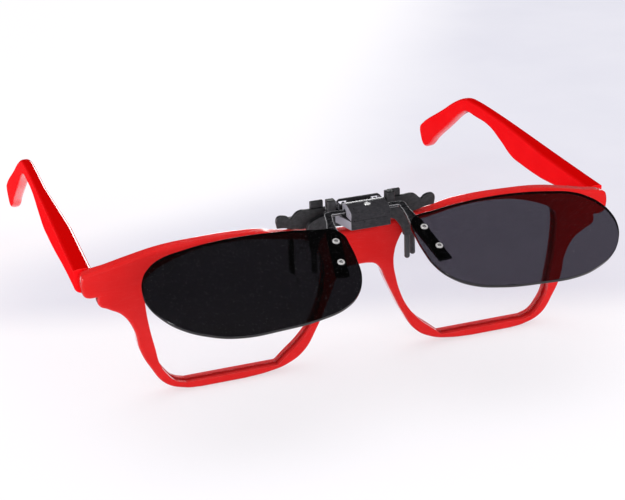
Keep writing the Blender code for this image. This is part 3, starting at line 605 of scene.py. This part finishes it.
def clip_box():
    half, wide = BODY_HALF, BODY_HALF_BACK
    loop = [(-half, BODY_FRONT, 1), (half, BODY_FRONT, 1), (wide, BODY_BACK, 1),
            (-wide, BODY_BACK, 1)]
    body = solid("clip_body_fine", sketch([loop], (BODY_TOP - BODY_LOW) / 2, 0.16),
                 flat_view((BODY_TOP + BODY_LOW) / 2))
    cut(body, bar((0, SCREW_Y, BODY_LOW + 0.6), (0, SCREW_Y, 6), 0.5))
    piece(body, "clip", "clip", LOOKS["clip"], "clip_body")
    profile = [
        (BODY_FRONT, COVER_LOW, 1), (BODY_FRONT, 6.8, 1), (-8.7, 7.3), (-8.0, 7.7), (-6.8, 8.12),
        (-5.2, COVER_TOP), (-3.8, 8.25), (COVER_BACK, 7.7, 1), (COVER_BACK, COVER_LOW, 1)]
    cover = solid("clip_cover_fine", sketch([profile], half, 0.14), side_view(0))
    bore = SLEEVE_R + 0.06
    cut(cover, bar((-9, AXLE.y, AXLE.z), (9, AXLE.y, AXLE.z), bore, sides=48))
    cut(cover, block((-9, AXLE.y - bore * 0.9, COVER_LOW - 1), (9, AXLE.y + bore * 0.9, AXLE.z)))
    cut(cover, bar((0, SCREW_Y, 4), (0, SCREW_Y, 9), 0.5))
    cut(cover, bar((0, SCREW_Y, 7.72), (0, SCREW_Y, 9), 1.05, sides=48))
    piece(cover, "clip", "clip", LOOKS["clip"], "clip_cover")
    profile = rounded([(0, 8.5), (0.5, 8.46), (0.92, 8.2), (0.92, 7.78), (0.42, 7.78),
                       (0.42, 3.35), (0, 3.35)], 0.1)
    screw = lathe("cover_screw_fine", profile, at(0, SCREW_Y, 0))
    cut(screw, block((-1, SCREW_Y - 0.13, 8.24), (1, SCREW_Y + 0.13, 9)))
    piece(screw, "clip", "bright_steel", LOOKS["bright_steel"], "cover_screw")


def front_jaw():
    low, high = FRONT_JAW_Y
    x, y, top, length = FRONT_PRONG
    foot = top - PRONG_ROOT + GAP
    half = [(6.3, 4.9, 1), (6.5, 5.5, 1), (9.5, 5.5, 1), (9.9, 4.9, 1), (11.8, 4.4), (13.9, 3.2),
            (14.5, 1.6), (14.1, -1.2), (x + 0.9, foot, 1), (x - 0.9, foot, 1), (11.5, -2.5),
            (10.4, -0.6), (9.2, 0.9), (7.8, 1.4), (6.0, 1.4, 1)]
    plate = solid("front_jaw_fine", sketch([mirrored(half)], (high - low) / 2, 0.12),
                  front_view((low + high) / 2))
    for name, side in SIDES:
        ends = sorted(side * v for v in POST_X)
        join(plate, block((ends[0], POST_Y[0], POST_Z[0]), (ends[1], POST_Y[1], POST_Z[1]), 0.28))
        cut(plate, bar((side * x, y, top - 3), (side * x, y, top + GAP), WIRE_R + GAP))
    cut(plate, bar((-15, PIVOT.y, PIVOT.z), (15, PIVOT.y, PIVOT.z), PIVOT_R + 0.06, sides=48))
    piece(plate, "clip", "clip", LOOKS["plate"], "front_jaw")


def prong(name, jaw, spot, body, lean=0.0):
    """A wire and its soft sleeve. The spot is x, y, top and length."""
    x, y, top, length = spot
    r, skin, inner = WIRE_R, PRONG_R, WIRE_R + GAP
    view = at(x, y, top) @ Matrix.Rotation(-math.atan(lean), 4, "X")
    wire = lathe(f"{jaw}_prong_{name}_fine",
                 rounded([(0, 0), (r, 0), (r, 0.85 - length), (0, 0.6 - length)], 0.12), view)
    piece(wire, body, "wire", LOOKS["wire"], f"{jaw}_prong_{name}")
    outside = [(inner, 0.8 - length), (inner, -PRONG_ROOT), (skin - 0.08, -PRONG_ROOT),
               (skin, -PRONG_ROOT - 0.08), (skin, 1.6 - length), (skin - 0.03, 1.3 - length)]
    tip = [(skin * math.cos(a), 0.75 - length - 0.75 * math.sin(a))
           for a in (math.pi / 2 * i / 8 for i in range(9))]
    sleeve = lathe(f"{jaw}_prong_sleeve_{name}_fine", [(0, 0.5 - length)] + outside + tip, view)
    piece(sleeve, body, "sleeve", LOOKS["sleeve"], f"{jaw}_prong_sleeve_{name}", angle=50)


def rear_jaw():
    low, high = REAR_JAW_Y
    x, y, top, length = REAR_PRONG
    half = [(13.4, 5.85), (15.3, 5.92), (16.4, 5.5), (17.35, 4.6), (18, 4.15), (18.8, 4.8),
            (20, 5.2), (21.3, 5.05), (21.8, 4.3), (21.6, 2.0, 1), (19.9, 1.85), (15.2, 0.8, 1),
            (8.5, 0.65, 1)]
    plate = solid("rear_jaw_fine", sketch([mirrored(half)], (high - low) / 2, 0.18),
                  front_view((low + high) / 2))
    for name, side in SIDES:
        ends = sorted(side * v for v in EAR_X)
        join(plate, block((ends[0], EAR_Y[0], 4.0), (ends[1], EAR_Y[1], 7.6), 0.3))
        ends = sorted((side * (x - 1.1), side * (x + 1.1)))
        join(plate, block((ends[0], high - 0.5, 0.95), (ends[1], y + 1.0, 2.6), 0.3))
        cut(plate, bar((side * x, y - 3 * REAR_LEAN, top - 3), (side * x, y, top + GAP),
                       WIRE_R + GAP))
    piece(plate, "jaw", "clip", LOOKS["plate"], "rear_jaw")


def squeeze_lever():
    half, wall, top, foot = 6.1, 0.6, 8.0, 5.8
    front, back = FRONT_JAW_Y[1] + 0.1, REAR_JAW_Y[0] - GAP
    profile = [(-half, foot, 1), (-half, top - 0.8), (-half + 0.8, top, 1), (half - 0.8, top, 1),
               (half, top - 0.8), (half, foot, 1), (half - wall, foot, 1), (half - wall, 7.4, 1),
               (3.4, 7.35, 1), (2.6, 6.2, 1), (-2.6, 6.2, 1), (-3.4, 7.35, 1),
               (-half + wall, 7.4, 1), (-half + wall, foot, 1)]
    bail = solid("squeeze_lever_fine", sketch([profile], 0.25, 0.1, rings=3),
                 front_view(front + 0.25))
    for name, side in SIDES:
        ends = sorted((side * (half - 0.03), side * (half - wall + 0.03)))
        join(bail, block((ends[0], -2.05, 5.7), (ends[1], front + 0.3, 7.3), 0.1))
        join(bail, block((ends[0], front + 0.4, 3.4), (ends[1], back, 7.0)))
    cut(bail, bar((-15, PIVOT.y, PIVOT.z), (15, PIVOT.y, PIVOT.z), PIVOT_R + 0.06, sides=48))
    piece(bail, "jaw", "clip", LOOKS["clip"], "squeeze_lever")


def pivot_pin():
    reach = POST_X[1] + 0.25
    r = PIVOT_R
    profile = rounded([(0, reach), (r, reach), (r, -reach), (0, -reach)], 0.12)
    view = at(0, PIVOT.y, PIVOT.z) @ Matrix.Rotation(math.pi / 2, 4, "Y")
    pin = lathe("pivot_pin_fine", profile, view)
    piece(pin, "clip", "wire", LOOKS["wire"], "pivot_pin")


def jaw_spring():
    """The torsion spring on the pin, with a leg on each jaw."""
    coil_r, wire_r, turns, per_turn, half = 0.8, 0.17, 8.75, 24, 4.7
    rest = wire_r + GAP
    swing = 0.22
    front_leg, rear_leg = FRONT_JAW_Y[1] + rest, REAR_JAW_Y[0] - rest - swing
    leg_top, leg_end = PIVOT.z - 1.4, PIVOT.z - 3.0
    count = int(turns * per_turn)
    points = [Vector((-half, front_leg, leg_end)), Vector((-half, front_leg, leg_top))]
    for i in range(count + 1):
        angle = math.tau * i / per_turn
        points.append(Vector((-half + 2 * half * i / count, PIVOT.y + coil_r * math.cos(angle),
                              PIVOT.z + coil_r * math.sin(angle))))
    points += [Vector((half, rear_leg, leg_top)), Vector((half, rear_leg, leg_end))]
    curve = bpy.data.curves.new("jaw_spring_fine", "CURVE")
    curve.dimensions = "3D"
    curve.bevel_depth = wire_r * MM
    curve.bevel_resolution = 3
    curve.use_fill_caps = True
    spline = curve.splines.new("POLY")
    spline.points.add(len(points) - 1)
    for knot, point in zip(spline.points, points):
        knot.co = (*(ORIGIN + point * MM), 1.0)
    drawn = bpy.data.objects.new("jaw_spring_curve", curve)
    bpy.context.scene.collection.objects.link(drawn)
    bpy.context.view_layer.update()
    seen = drawn.evaluated_get(bpy.context.evaluated_depsgraph_get())
    shape = bmesh.new()
    shape.from_mesh(bpy.data.meshes.new_from_object(seen))
    bmesh.ops.remove_doubles(shape, verts=shape.verts, dist=WELD_DISTANCE)
    spring = solid("jaw_spring_fine", shape)
    bpy.data.objects.remove(drawn)
    piece(spring, "clip", "spring_steel", LOOKS["spring_steel"], "jaw_spring", angle=60)


# ---------------------------------------------------------------- lenses that flip

LENS_DATUM, LENS_DATUM_X = 20.37, 15.0
RIVET_R, RIVET_HEAD_R = 0.45, 0.95
RIVET_DROPS = (11.14, 18.35)
SUN_OUTLINE = [
    (0.5, 14.6), (5.8, 15.5), (10, 15.95), (18, 16.4), (27, 16.0), (34, 14.9), (40.2, 13.2),
    (43.4, 10.9), (45.8, 7.4), (46.8, 3.0), (46.4, -0.8), (44.5, -5.2), (40.9, -9.6), (35, -13.3),
    (28.4, -15.3), (18, -15.3), (8, -14.2), (1.2, -12), (-3, -8.5), (-5.4, -4), (-6.3, 1.5),
    (-6.4, 7.5), (-5.9, 11.6), (-3.6, 13.9)]


def strap_x(drop):
    """The middle line of a strap, at a distance down from the axle."""
    return 11.74 + (drop - RIVET_DROPS[0]) * 0.1637


def sun_lens(name, side, look):
    loop = [(side * (LENS_DATUM_X + u), w - LENS_DATUM) for u, w in SUN_OUTLINE]
    view = flip_view(STRAP_THICK / 2 + GAP + LENS_THICK / 2)
    glass = solid(f"sun_lens_{name}_fine", sketch([loop], LENS_THICK / 2, 0.16, rings=3), view)
    for drop in RIVET_DROPS:
        x = side * strap_x(drop)
        cut(glass, bar((x, -drop, -1), (x, -drop, 3), RIVET_R + GAP, flip_view()))
    piece(glass, "flip_lenses", "sun_lens", look, f"sun_lens_{name}")


def strap(name, side):
    low = RIVET_DROPS[1] + 3.6
    wide, neck, thin = 1.7, 0.95, 0.62
    shoulder, top = 7.4, 3.2
    points = [
        (BODY_HALF - 1.2, 0.5, 1), (BODY_HALF + 0.35, 0.5, 1), (BODY_HALF + 0.35, thin, 1),
        (9.6, thin), (10.75, 0.15), (strap_x(1.6) + neck, -1.6),
        (strap_x(top) + neck, -top), (strap_x(shoulder) + wide, -shoulder, 1),
        (strap_x(low) + wide, -low + 0.3, 1), (strap_x(low) - wide, -low, 1),
        (strap_x(shoulder) - wide, -shoulder, 1), (strap_x(top) - neck, -top),
        (strap_x(1.6) - neck, -1.6), (9.0, -thin), (8.4, -thin, 1), (BODY_HALF + 0.35, -thin, 1),
        (BODY_HALF + 0.35, -0.5, 1), (BODY_HALF - 1.2, -0.5, 1)]
    blade = solid(f"strap_{name}_fine",
                  sketch([sided(points, side)], STRAP_THICK / 2, 0.1, rings=3), flip_view())
    for drop in RIVET_DROPS:
        x = side * strap_x(drop)
        cut(blade, bar((x, -drop, -1), (x, -drop, 3), RIVET_R + GAP, flip_view()))
    piece(blade, "flip_lenses", "strap", LOOKS["strap"], f"strap_{name}")


def rivets(name, side):
    face = STRAP_THICK / 2 + GAP + LENS_THICK + GAP
    back = -STRAP_THICK / 2 - GAP
    washer = 0.25
    for row, drop in zip(("upper", "lower"), RIVET_DROPS):
        view = flip_view() @ Matrix.Translation((side * strap_x(drop) * MM, -drop * MM, 0))
        head = rounded([(0, face + 0.05), (0.35, face + 0.05), (0.55, face + 0.4),
                        (0.75, face + 0.42), (RIVET_HEAD_R, face + 0.15), (RIVET_HEAD_R, face),
                        (RIVET_R, face), (RIVET_R, back - washer - 0.25),
                        (0, back - washer - 0.25)], 0.09)
        rivet = lathe(f"rivet_{row}_{name}_fine", head, view)
        piece(rivet, "flip_lenses", "rivet", LOOKS["rivet"], f"rivet_{row}_{name}")
        ring = lathe(f"rivet_washer_{row}_{name}_fine",
                     [(RIVET_R + 0.05, back), (0.86, back), (0.9, back - 0.04),
                      (0.9, back - washer + 0.08), (0.82, back - washer),
                      (RIVET_R + 0.05, back - washer), (RIVET_R + 0.05, back)], view)
        piece(ring, "flip_lenses", "rivet", LOOKS["rivet"], f"rivet_washer_{row}_{name}")


# ---------------------------------------------------------------- build

spectacle_front()
for name, side in SIDES:
    temple(name, side)
    prong(name, "front", (side * FRONT_PRONG[0], *FRONT_PRONG[1:]), "clip")
    prong(name, "rear", (side * REAR_PRONG[0], *REAR_PRONG[1:]), "jaw", REAR_LEAN)
    # the lens on the -X side takes the darker copy, painted shade
    sun_lens(name, side, LOOKS["sun_lens" if side > 0 else "sun_lens_shaded"])
    strap(name, side)
    rivets(name, side)
clip_box()
front_jaw()
rear_jaw()
squeeze_lever()
pivot_pin()
jaw_spring()

# the CAD nodes not drawn again (hinges, flip sleeve, detent spring) take the looks of their slots
SLOT_OF = {part["node"]: part["material_slot"] for part in frame["record"]["subparts"]}
for name, node in frame["nodes"].items():
    if not node.hide_render:
        for index in range(max(1, len(node.data.materials))):
            if node.data.materials:
                node.data.materials[index] = LOOKS[SLOT_OF[name]]
            else:
                node.data.materials.append(LOOKS[SLOT_OF[name]])

# ---------------------------------------------------------------- floor, light and camera


def floor():
    """A pale floor with a faint lavender drift behind the object, dim in far reflections."""
    look = Look("pale_floor")
    turned = look.stretched((1, 1, 1), (0, 0, math.radians(-CAMERA_TURN)))
    split = look.add("ShaderNodeSeparateXYZ", {0: turned})
    across, away = split.outputs["X"], split.outputs["Y"]
    start = look.soft(away, -27, 1)
    near = look.soft(away, 10, 110, 90, 0)
    drift = look.maths("ADD", look.maths("SUBTRACT", across, look.maths("MULTIPLY", away, 0.214)),
                       near)
    amount = look.maths("MULTIPLY", start, look.soft(drift, -45, 30))
    mottle = look.fit(look.noise(0.02, 3.0), 0.3, 0.7, 0.85, 1.0)
    tone = look.blend(look.maths("MULTIPLY", amount, mottle), (0.97, 0.955, 0.985),
                      (0.75, 0.745, 0.82))
    path = look.add("ShaderNodeLightPath")
    far = look.soft(path.outputs["Ray Length"], 0.045, 0.075, 0.0, 0.94)
    far = look.maths("MULTIPLY", far, look.soft(split.outputs["X"], -130, -105))
    dimmed = look.maths("MULTIPLY", path.outputs["Is Glossy Ray"], far)
    seen = look.maths("MULTIPLY", path.outputs["Is Camera Ray"], 0.6)
    look.set(Base_Color=look.blend(look.maths("MAXIMUM", dimmed, seen), tone, (0, 0, 0)),
             Roughness=0.9, Specular_IOR_Level=0.1, Emission_Color=tone, Emission_Strength=seen)
    shape = bmesh.new()
    bmesh.ops.create_grid(shape, x_segments=1, y_segments=1, size=6.0)
    plane = solid("floor", shape)
    plane.data.materials.append(look.material)
    plane.location.z = CAD_BOX[0].z - 0.1 * MM


def softbox(name, spot, size, power, fills=True, glints=True, aim=(0, 0.02, 0.02)):
    """An area light. It may light surfaces, show in reflections, or both."""
    light = bpy.data.lights.new(name, "AREA")
    light.shape = "RECTANGLE"
    light.size, light.size_y = size
    light.energy = power
    made = bpy.data.objects.new(name, light)
    made.location = spot
    made.rotation_euler = (Vector(aim) - Vector(spot)).to_track_quat("-Z", "Y").to_euler()
    made.visible_diffuse, made.visible_glossy = fills, glints
    bpy.context.scene.collection.objects.link(made)


def studio():
    """A pale room, dark in reflections but for a low band behind the object."""
    world = bpy.data.worlds.new("studio")
    world.use_nodes = True
    bpy.context.scene.world = world
    tree = world.node_tree

    def node(kind, *links, **values):
        made = tree.nodes.new(kind)
        for key, value in values.items():
            made.inputs[key.replace("_", " ")].default_value = value
        for socket, key in links:
            tree.links.new(socket, made.inputs[key])
        return made

    background = tree.nodes["Background"]
    background.inputs["Color"].default_value = (0.985, 0.98, 1.0, 1)
    place = node("ShaderNodeTexCoord")
    split = node("ShaderNodeSeparateXYZ", (place.outputs["Generated"], 0))
    band = node("ShaderNodeMapRange", (split.outputs["Z"], "Value"), From_Min=0.27, From_Max=0.36,
                To_Min=0.12, To_Max=0.03)
    behind = node("ShaderNodeMapRange", (split.outputs["Y"], "Value"), From_Min=-0.2,
                  From_Max=0.3, To_Min=0.15, To_Max=1.0)
    shown = node("ShaderNodeMath", (band.outputs[0], 0), (behind.outputs[0], 1))
    shown.operation = "MULTIPLY"
    path = node("ShaderNodeLightPath")
    strength = node("ShaderNodeMapRange", (path.outputs["Is Glossy Ray"], "Value"),
                    (shown.outputs[0], "To Max"), To_Min=0.9)
    tree.links.new(strength.outputs[0], background.inputs["Strength"])
    softbox("left_fill", (-1.2, -0.35, 0.6), (0.9, 0.7), 3, glints=False)
    softbox("front_fill", (0.25, -1.3, 0.4), (1.2, 0.8), 6.5, glints=False)
    softbox("top_fill", (0.1, 0.1, 1.4), (1.2, 1.2), 3, glints=False)
    softbox("left_strip", (-0.7, -0.3, 0.08), (0.12, 0.2), 4, fills=False)
    softbox("back_strip", (0.27, 0.88, 0.13), (0.25, 0.25), 1.3, fills=False)
    softbox("right_strip", (0.7, 0.59, 0.14), (0.25, 0.2), 0.5, fills=False)


def camera():
    azimuth, elevation, roll = map(math.radians, (CAMERA_TURN, CAMERA_RISE, CAMERA_ROLL))
    back = Vector((math.sin(azimuth) * math.cos(elevation),
                   -math.cos(azimuth) * math.cos(elevation), math.sin(elevation)))
    right = Vector((math.cos(azimuth), math.sin(azimuth), 0))
    turn = Matrix((right, back.cross(right), back)).transposed()
    turn = turn @ Matrix.Rotation(roll, 3, "Z")
    data = bpy.data.cameras.new("camera")
    data.sensor_width, data.lens = SENSOR, FOCAL_LENGTH
    data.clip_start = 0.01
    made = bpy.data.objects.new("camera", data)
    made.matrix_world = at(*CAMERA_SPOT) @ turn.to_4x4()
    bpy.context.scene.collection.objects.link(made)
    bpy.context.scene.camera = made


floor()
studio()
camera()
bpy.context.scene.view_settings.view_transform = "Standard"
